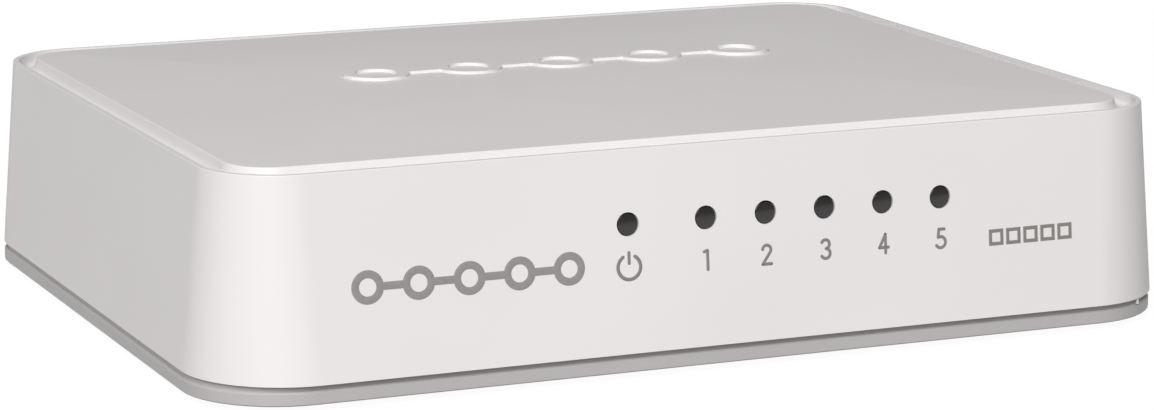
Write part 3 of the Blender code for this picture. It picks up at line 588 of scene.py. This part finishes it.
@dataclass(frozen=True)
class PrintArea:
    """A flat patch of the cover's wall that a pad prints on."""

    place: Matrix
    film: float = 0.035     # height of the ink above the wall

    @classmethod
    def on_wall(cls, x: float, z: float, outward: float) -> PrintArea:
        """Find the wall by looking at it from outside.

        Args:
            x: Place along the long side, in metres.
            z: Height in metres.
            outward: FRONT for the indicator wall, REAR for the port wall.

        Returns:
            The patch, with its right, up and outward axes.
        """
        start = Vector((x, outward * 0.1, z))
        point, normal, _, _ = cover_surface().ray_cast(start, Vector((0.0, -outward, 0.0)))
        if point is None:
            raise ValueError(f"no wall at x {x}, z {z}")
        up = (Vector((0.0, 0.0, 1.0)) - normal * normal.z).normalized()
        right = up.cross(normal)
        place = Matrix((right, up, normal)).transposed().to_4x4()
        place.translation = point
        return cls(place)

    def strokes(self, paths: Sequence[Path], width: float) -> bmesh.types.BMesh:
        """Lay round-ended strokes of ink on the patch.

        Args:
            paths: Paths of the strokes in millimetres, right and up.
            width: Width of a stroke in millimetres.

        Returns:
            The ink as closed, flattened beads.
        """
        curve = bpy.data.curves.new("strokes", "CURVE")
        curve.dimensions = "3D"
        curve.bevel_depth = width / 2 * MM
        curve.bevel_resolution = 3
        curve.use_fill_caps = True
        ends = []
        for path in paths:
            closed = path[0] == path[-1]
            points = path[:-1] if closed else path
            spline = curve.splines.new("POLY")
            spline.use_cyclic_u = closed
            spline.points.add(len(points) - 1)
            for point, (x, y) in zip(spline.points, points):
                point.co = (x * MM, y * MM, 0.0, 1.0)
            if not closed:
                ends += [path[0], path[-1]]
        pen = bpy.data.objects.new("strokes", curve)
        bpy.context.scene.collection.objects.link(pen)
        bpy.context.view_layer.update()
        mesh = bpy.data.meshes.new_from_object(pen.evaluated_get(bpy.context.evaluated_depsgraph_get()))
        bm = bmesh.new()
        bm.from_mesh(mesh)
        bpy.data.objects.remove(pen, do_unlink=True)
        bpy.data.curves.remove(curve)
        bpy.data.meshes.remove(mesh)
        bmesh.ops.remove_doubles(bm, verts=bm.verts, dist=WELD)
        bmesh.ops.recalc_face_normals(bm, faces=bm.faces)
        for x, y in ends:
            bmesh.ops.create_uvsphere(bm, u_segments=12, v_segments=6, radius=width / 2 * MM,
                                      matrix=Matrix.Translation((x * MM, y * MM, 0.0)))
        bmesh.ops.scale(bm, vec=(1.0, 1.0, 2 * self.film / width), verts=bm.verts)
        bmesh.ops.transform(bm, matrix=self.place, verts=bm.verts)
        return bm


# ---------------------------------------------------------------- sub-assemblies
@dataclass
class Casing:
    """White cover over a grey tray, with feet, screws and a blank rating label."""

    foot_radius: float = 4.5
    foot_round: float = 0.35
    foot_dish: float = 0.12
    foot_steps: int = 64
    label_frame: float = 1.2
    label_line: float = 0.25
    label_film: float = 0.02
    label_rows: int = 4
    row_drop: float = 1.8       # from the frame to the first bar
    row_step: float = 1.9
    row_gap: float = 1.2        # from the frame to a bar's left end
    row_short: float = 8.0      # from the frame to a bar's right end
    row_longer: float = 2.0     # what every second bar is longer by
    square_side: float = 3.2
    square_low: float = -2.4
    nib_middle: tuple[float, float, float] = (54.92, -46.08, 2.96)
    nib_size: tuple[float, float, float] = (0.22, 0.3, 0.8)
    nib_turn: float = 29.3      # degrees about the vertical, to face out of the corner
    nib_bevel: float = 0.03

    def build(self) -> None:
        """Build and dress all pieces of the casing."""
        refine("top_shell", "cover_moulding", SHELL_WHITE)
        refine("base_tray", "tray_moulding", TRAY_GREY)
        for end in ("front", "rear"):
            for side in ("left", "right"):
                self.foot(end, side)
                refine(f"case_screw_{end}_{side}", f"case_screw_{end}_{side}_plated", ZINC_STEEL)
        refine("rating_label", "rating_label_stock", LABEL_FOIL)
        self.label_print()
        self.nib()

    def nib(self) -> None:
        """Mould the small white nib that bridges the shadow gap at the front right corner."""
        bm = bmesh.new()
        bmesh.ops.create_cube(bm, size=MM)
        bmesh.ops.scale(bm, vec=self.nib_size, verts=bm.verts)
        bmesh.ops.bevel(bm, geom=bm.edges[:], offset=self.nib_bevel * MM, offset_type="OFFSET", segments=2,
                        profile=0.5, affect="EDGES", material=-1)
        place = Matrix.Translation(Vector(self.nib_middle) * MM)
        turn = Matrix.Rotation(math.radians(self.nib_turn), 4, "Z")
        bmesh.ops.transform(bm, matrix=place @ turn, verts=bm.verts)
        make_piece("cover_gap_nib", bm, SHELL_WHITE)

    def foot(self, end: str, side: str) -> None:
        """Turn one rubber foot with a rounded rim and a shallow dish.

        Args:
            end: front or rear.
            side: left or right.
        """
        node = f"foot_{end}_{side}"
        low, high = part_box(node)
        top = (high.z - low.z) / MM
        rim = self.foot_radius - self.foot_round
        bottom = [(rim + self.foot_round * math.sin(turn), self.foot_round * (1 - math.cos(turn)))
                  for turn in (math.radians(15.0 * step) for step in range(7))]
        dish = [(0.0, self.foot_dish), (rim * 0.55, self.foot_dish * 0.8), (rim * 0.85, 0.0)]
        profile = dish + bottom + [(self.foot_radius, top), (0.0, top)]
        centre = middle_of(node)
        bm = turned(profile, Vector((centre.x, centre.y, low.z)), self.foot_steps)
        make_piece(f"{node}_cast", bm, FOOT_RUBBER, replaces=(node,))

    def label_print(self) -> None:
        """Print a frame and plain bars on the label, with no wording."""
        low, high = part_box("rating_label")
        centre = (low + high) / 2
        half_x = (high.x - low.x) / 2 / MM - self.label_frame
        half_y = (high.y - low.y) / 2 / MM - self.label_frame
        paths = [[(-half_x, -half_y), (half_x, -half_y), (half_x, half_y), (-half_x, half_y),
                  (-half_x, -half_y)]]
        for row in range(self.label_rows):
            height = half_y - self.row_drop - self.row_step * row
            paths.append([(-half_x + self.row_gap, height),
                          (half_x - self.row_short + self.row_longer * (row % 2), height)])
        right = half_x - self.row_gap
        left = right - self.square_side
        top = self.square_low + self.square_side
        paths.append([(left, self.square_low), (right, self.square_low), (right, top), (left, top),
                      (left, self.square_low)])
        turn = Matrix.Rotation(math.pi, 4, "X")
        area = PrintArea(Matrix.Translation((centre.x, centre.y, low.z)) @ turn, film=self.label_film)
        make_piece("rating_label_print", area.strokes(paths, self.label_line), LABEL_INK)


@dataclass
class Legends:
    """Printed digits and marks on the front and rear walls of the cover."""

    drop: float = 4.8           # from an indicator's middle to its digit's middle
    height: float = 2.15
    stroke: float = 0.38
    ring_radius: float = 1.38
    ring_stroke: float = 0.42
    ring_gap: float = 32.0      # half the opening at the top of the power symbol, in degrees
    bar: Point = (0.45, 1.64)   # from the power symbol's middle to the ends of its bar
    mark_middle: Point = (-31.0, 13.5)
    mark_radius: float = 1.9
    mark_pitch: float = 5.95
    mark_stroke: float = 0.9
    row_middle: Point = (39.4, 12.6)
    row_pitch: float = 2.28
    row_side: float = 1.5
    row_stroke: float = 0.6
    rear_rise: float = 2.2      # from the top of the port block to a digit's middle
    rear_height: float = 2.2
    polarity_rise: float = 2.6
    polarity_stroke: float = 0.26
    cup_radius: float = 0.95
    dot_radius: float = 0.12
    lead_end: float = 2.9       # from the middle to the outer end of a lead
    lead_start: float = 0.15    # from the middle to the inner end of the right lead
    sign_at: float = 3.8        # from the middle to the plus sign's middle

    def build(self) -> None:
        """Print every legend."""
        for port in range(1, PORTS + 1):
            window = window_middle(f"port_{port}")
            area = PrintArea.on_wall(window.x, window.z - self.drop * MM, FRONT)
            paths = scaled(digit(port), self.height)
            make_piece(f"front_digit_{port}", area.strokes(paths, self.stroke), LEGEND_INK)
        self.power_symbol()
        self.node_mark()
        self.port_row()
        self.rear_digits()
        self.polarity()

    def power_symbol(self) -> None:
        """Print the open ring and bar under the power indicator."""
        window = window_middle("power")
        area = PrintArea.on_wall(window.x, window.z - self.drop * MM, FRONT)
        ring = arc((0.0, 0.0), self.ring_radius, 90.0 + self.ring_gap, 450.0 - self.ring_gap, 40)
        make_piece("power_symbol_ring", area.strokes([ring], self.ring_stroke), LEGEND_INK)
        bar = [(0.0, height) for height in self.bar]
        make_piece("power_symbol_bar", area.strokes([bar], self.stroke), LEGEND_INK)

    def node_mark(self) -> None:
        """Print a row of rings joined by bars, the plain mark of linked nodes."""
        area = PrintArea.on_wall(self.mark_middle[0] * MM, self.mark_middle[1] * MM, FRONT)
        paths = []
        for index in range(PORTS):
            x = self.mark_pitch * (index - (PORTS - 1) / 2)
            paths.append(arc((x, 0.0), self.mark_radius - self.mark_stroke / 2, 0.0, 360.0, 32))
            paths[-1][-1] = paths[-1][0]
            if index < PORTS - 1:
                paths.append([(x + self.mark_radius, 0.0), (x + self.mark_pitch - self.mark_radius, 0.0)])
        make_piece("front_node_mark", area.strokes(paths, self.mark_stroke), MARK_INK)

    def port_row(self) -> None:
        """Print five small port outlines in a row."""
        area = PrintArea.on_wall(self.row_middle[0] * MM, self.row_middle[1] * MM, FRONT)
        half = self.row_side / 2
        paths = []
        for index in range(PORTS):
            x = self.row_pitch * (index - (PORTS - 1) / 2)
            paths.append([(x - half, -half), (x + half, -half), (x + half, half), (x - half, half),
                          (x - half, -half)])
        make_piece("front_port_row", area.strokes(paths, self.row_stroke), LEGEND_INK)

    def rear_digits(self) -> None:
        """Print the port numbers over the ports."""
        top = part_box("jack_housing")[1].z
        for port in range(1, PORTS + 1):
            x = middle_of(f"port_contacts_{port}").x
            area = PrintArea.on_wall(x, top + self.rear_rise * MM, REAR)
            paths = scaled(digit(port), self.rear_height)
            make_piece(f"rear_digit_{port}", area.strokes(paths, self.stroke), LEGEND_INK)

    def polarity(self) -> None:
        """Print the centre-contact symbol over the power inlet."""
        low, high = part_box("dc_inlet_housing")
        area = PrintArea.on_wall((low.x + high.x) / 2, high.z + self.polarity_rise * MM, REAR)
        cup = arc((0.0, 0.0), self.cup_radius, 50.0, 310.0, 24)
        dot = arc((0.0, 0.0), self.dot_radius, 0.0, 360.0, 12)
        dot[-1] = dot[0]
        leads = [[(-self.lead_end, 0.0), (-self.cup_radius, 0.0)],
                 [(self.lead_start, 0.0), (self.lead_end, 0.0)]]
        minus = [(-4.1, 0.0), (-3.4, 0.0)]
        plus = [[(self.sign_at - 0.4, 0.0), (self.sign_at + 0.4, 0.0)],
                [(self.sign_at, -0.4), (self.sign_at, 0.4)]]
        paths = [cup, dot] + leads + [minus] + plus
        make_piece("rear_polarity_symbol", area.strokes(paths, self.polarity_stroke), LEGEND_INK)


@dataclass
class LightPath:
    """Diodes on the board, smoked guides that end in the front wall, and their holder."""

    bevel: float = 0.15
    diode_bevel: float = 0.05
    window_radius: float = 1.24
    window_depth: float = 1.2
    sink: float = 0.05          # from the wall down to the middle of the window
    crown: float = 0.05         # fall of the window's face from its middle to its rim
    rim: float = 0.08           # rounding at the rim
    beside: float = 2.4         # from the middle of a window to plain wall

    def build(self) -> None:
        """Dress the guides, the diodes and the holder."""
        for name in ["power"] + [f"port_{port}" for port in range(1, PORTS + 1)]:
            self.guide(name)
            refine(f"led_{name}", f"led_{name}_package", DIODE_EPOXY,
                   bevel=self.diode_bevel)
        refine("light_guide_holder", "light_guide_holder_moulded", HOLDER_BLACK,
               bevel=self.bevel)

    def guide(self, name: str) -> None:
        """Join the bent rod to a round window that sits flush in the front wall.

        Args:
            name: power or port_ and a number.
        """
        middle = window_middle(name)
        place = PrintArea.on_wall(middle.x + self.beside * MM, middle.z, FRONT).place
        place.translation.x -= self.beside * MM
        rod = welded(f"light_guide_{name}")
        bmesh.ops.bisect_plane(rod, geom=rod.verts[:] + rod.edges[:] + rod.faces[:], dist=WELD,
                               plane_co=middle + Vector((0.0, self.window_depth / 2 * MM, 0.0)),
                               plane_no=(0.0, -1.0, 0.0), clear_outer=True)
        bmesh.ops.holes_fill(rod, edges=[edge for edge in rod.edges if edge.is_boundary])
        face = [(share * (self.window_radius - self.rim), -self.sink - self.crown * share * share)
                for share in (0.0, 0.25, 0.5, 0.75, 1.0)]
        edge_height = face[-1][1]
        turns = [math.radians(22.5 * step) for step in range(1, 5)]
        rim = [(self.window_radius - self.rim * (1 - math.sin(turn)),
                edge_height - self.rim * (1 - math.cos(turn))) for turn in turns]
        back = [(self.window_radius, -self.window_depth), (0.0, -self.window_depth)]
        window = turned(face + rim + back, Vector(), ROUND_STEPS)
        bmesh.ops.transform(window, matrix=place, verts=window.verts)
        spare = bpy.data.meshes.new("spare")
        window.to_mesh(spare)
        window.free()
        rod.from_mesh(spare)
        bpy.data.meshes.remove(spare)
        make_piece(f"light_guide_{name}_polished", rod, LENS_SMOKED,
                   replaces=(f"light_guide_{name}",))


@dataclass
class PortBlock:
    """Black block with five plug spaces and the sprung contacts in them."""

    bevel: float = 0.12
    contact_bevel: float = 0.06

    def build(self) -> None:
        """Dress the block, and each comb of contacts on its own body."""
        refine("jack_housing", "jack_housing_moulded", JACK_BLACK, bevel=self.bevel)
        for port in range(1, PORTS + 1):
            refine(f"port_contacts_{port}", f"port_contacts_{port}_plated", CONTACT_GOLD,
                   f"contacts_{port}", bevel=self.contact_bevel)


@dataclass
class PowerInlet:
    """Barrel inlet with its centre pin and sleeve spring."""

    bevel: float = 0.12
    spring_bevel: float = 0.05

    def build(self) -> None:
        """Dress the inlet."""
        refine("dc_inlet_housing", "dc_inlet_housing_moulded", INLET_BLACK, bevel=self.bevel)
        refine("dc_inlet_pin", "dc_inlet_pin_plated", INLET_NICKEL)
        refine("dc_inlet_spring", "dc_inlet_spring_plated", INLET_NICKEL,
               bevel=self.spring_bevel)


@dataclass
class Board:
    """Circuit board and what stands on it."""

    screws: int = 4
    pad_bevel: float = 0.08
    sink_bevel: float = 0.15
    can_bevel: float = 0.3
    ferrite_bevel: float = 0.2

    def build(self) -> None:
        """Dress the board and its components."""
        refine("pcb", "pcb_laminate", BOARD_MASK)
        for index in range(1, self.screws + 1):
            refine(f"board_screw_{index}", f"board_screw_{index}_plated", ZINC_STEEL)
        for chip in ("switch_ic", "regulator_ic", "flash_chip"):
            refine(chip, f"{chip}_package", CHIP_EPOXY)
        refine("thermal_pad", "thermal_pad_cut", THERMAL_SILICONE, bevel=self.pad_bevel)
        refine("heat_sink", "heat_sink_extrusion", SINK_ALUMINIUM,
               bevel=self.sink_bevel)
        for port in range(1, PORTS + 1):
            refine(f"magnetics_{port}", f"magnetics_{port}_potted", MAGNETICS_SHELL)
        refine("crystal", "crystal_drawn_can", NICKEL_CAN, bevel=self.can_bevel)
        for name in ("capacitor_input", "capacitor_output"):
            refine(name, f"{name}_sleeved", CAP_SLEEVE)
        refine("power_inductor", "power_inductor_pressed", PRESSED_FERRITE,
               bevel=self.ferrite_bevel)


# ---------------------------------------------------------------- studio
@dataclass
class Studio:
    """Pale floor, one large soft key light, an even room and the camera."""

    target: tuple[float, float, float] = (2.171, 0.0, 10.155)   # point that the camera looks at
    azimuth: float = -23.31     # degrees from straight on towards the left end
    elevation: float = 11.536
    distance: float = 484.124
    roll: float = 0.038
    lens: float = 121.77
    sensor: float = 36.0
    clip: Point = (0.01, 50.0)  # metres
    key_direction: tuple[float, float, float] = (-0.42, -0.712, 0.563)  # from the case to the light
    key_distance: float = 1.6   # metres
    key_size: float = 1.0       # metres
    key_irradiance: float = 3.2
    room: float = 0.24          # strength of the even light from all round
    floor_radius: float = 6.0   # metres
    floor_glow: float = 0.94

    def build(self) -> None:
        """Set up the floor, the lights, the room and the camera."""
        scene = bpy.context.scene
        scene.view_settings.view_transform = "Standard"
        self.floor()
        self.key_light()
        self.surroundings(scene)
        self.camera(scene)

    def floor(self) -> None:
        """Lay a pale, faintly glowing floor that keeps only a trace of shadow."""
        bm = bmesh.new()
        bmesh.ops.create_circle(bm, cap_ends=True, segments=96, radius=self.floor_radius)
        mesh = bpy.data.meshes.new("studio_floor")
        bm.to_mesh(mesh)
        bm.free()
        floor = bpy.data.objects.new("studio_floor", mesh)
        bpy.context.scene.collection.objects.link(floor)
        material = bpy.data.materials.new("pale_paper_floor")
        material.use_nodes = True
        shader = material.node_tree.nodes["Principled BSDF"]
        shader.inputs["Base Color"].default_value = linear("#5C5C5C")
        shader.inputs["Roughness"].default_value = 0.9
        shader.inputs["Specular IOR Level"].default_value = 0.0
        shader.inputs["Emission Color"].default_value = linear("#FFFFFF")
        shader.inputs["Emission Strength"].default_value = self.floor_glow
        mesh.materials.append(material)
        floor.visible_diffuse = False

    def key_light(self) -> None:
        """Hang the large soft key light in front and to the left."""
        light = bpy.data.lights.new("key_softbox", "AREA")
        light.shape = "DISK"
        light.size = self.key_size
        light.energy = self.key_irradiance * math.pi * self.key_distance ** 2
        lamp = bpy.data.objects.new("key_softbox", light)
        bpy.context.scene.collection.objects.link(lamp)
        direction = Vector(self.key_direction).normalized()
        lamp.location = direction * self.key_distance
        lamp.rotation_euler = (-direction).to_track_quat("-Z", "Y").to_euler()

    def surroundings(self, scene: bpy.types.Scene) -> None:
        """Fill the room with even light, and show it white where the floor ends.

        Args:
            scene: The scene to light.
        """
        world = bpy.data.worlds.new("white_room")
        world.use_nodes = True
        scene.world = world
        tree = world.node_tree
        light = tree.nodes["Background"]
        light.inputs["Color"].default_value = linear("#FFFEFE")
        light.inputs["Strength"].default_value = self.room
        seen = add_node(tree, "ShaderNodeBackground", {"Color": linear("#FFFFFF"), "Strength": 1.0})
        path = add_node(tree, "ShaderNodeLightPath")
        mix = add_node(tree, "ShaderNodeMixShader", {0: path.outputs["Is Camera Ray"], 1: light.outputs[0],
                                                     2: seen.outputs[0]})
        tree.links.new(mix.outputs[0], tree.nodes["World Output"].inputs["Surface"])

    def camera(self, scene: bpy.types.Scene) -> None:
        """Aim the camera at the front left corner of the switch.

        Args:
            scene: The scene that looks through it.
        """
        data = bpy.data.cameras.new("product_camera")
        data.lens = self.lens
        data.sensor_width = self.sensor
        data.clip_start, data.clip_end = self.clip
        camera = bpy.data.objects.new("product_camera", data)
        scene.collection.objects.link(camera)
        turn = math.radians(self.azimuth)
        lift = math.radians(self.elevation)
        away = Vector((math.sin(turn) * math.cos(lift), -math.cos(turn) * math.cos(lift), math.sin(lift)))
        camera.location = (Vector(self.target) + away * self.distance) * MM
        camera.rotation_mode = "QUATERNION"
        camera.rotation_quaternion = ((-away).to_track_quat("-Z", "Y")
                                      @ Quaternion((0.0, 0.0, 1.0), math.radians(self.roll)))
        scene.camera = camera


def main() -> None:
    """Build the studio and every sub-assembly, and log each new piece with its face count."""
    logging.basicConfig(level=logging.INFO, format="%(name)s: %(message)s")
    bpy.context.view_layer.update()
    Studio().build()
    for assembly in (Casing(), Legends(), LightPath(), PortBlock(), PowerInlet(), Board()):
        before = {obj.name for obj in bpy.data.objects}
        assembly.build()
        for obj in bpy.data.objects:
            if obj.name not in before:
                LOG.info("%s: %s, %d faces", type(assembly).__name__, obj.name, len(obj.data.polygons))


if __name__ == "__main__":
    main()
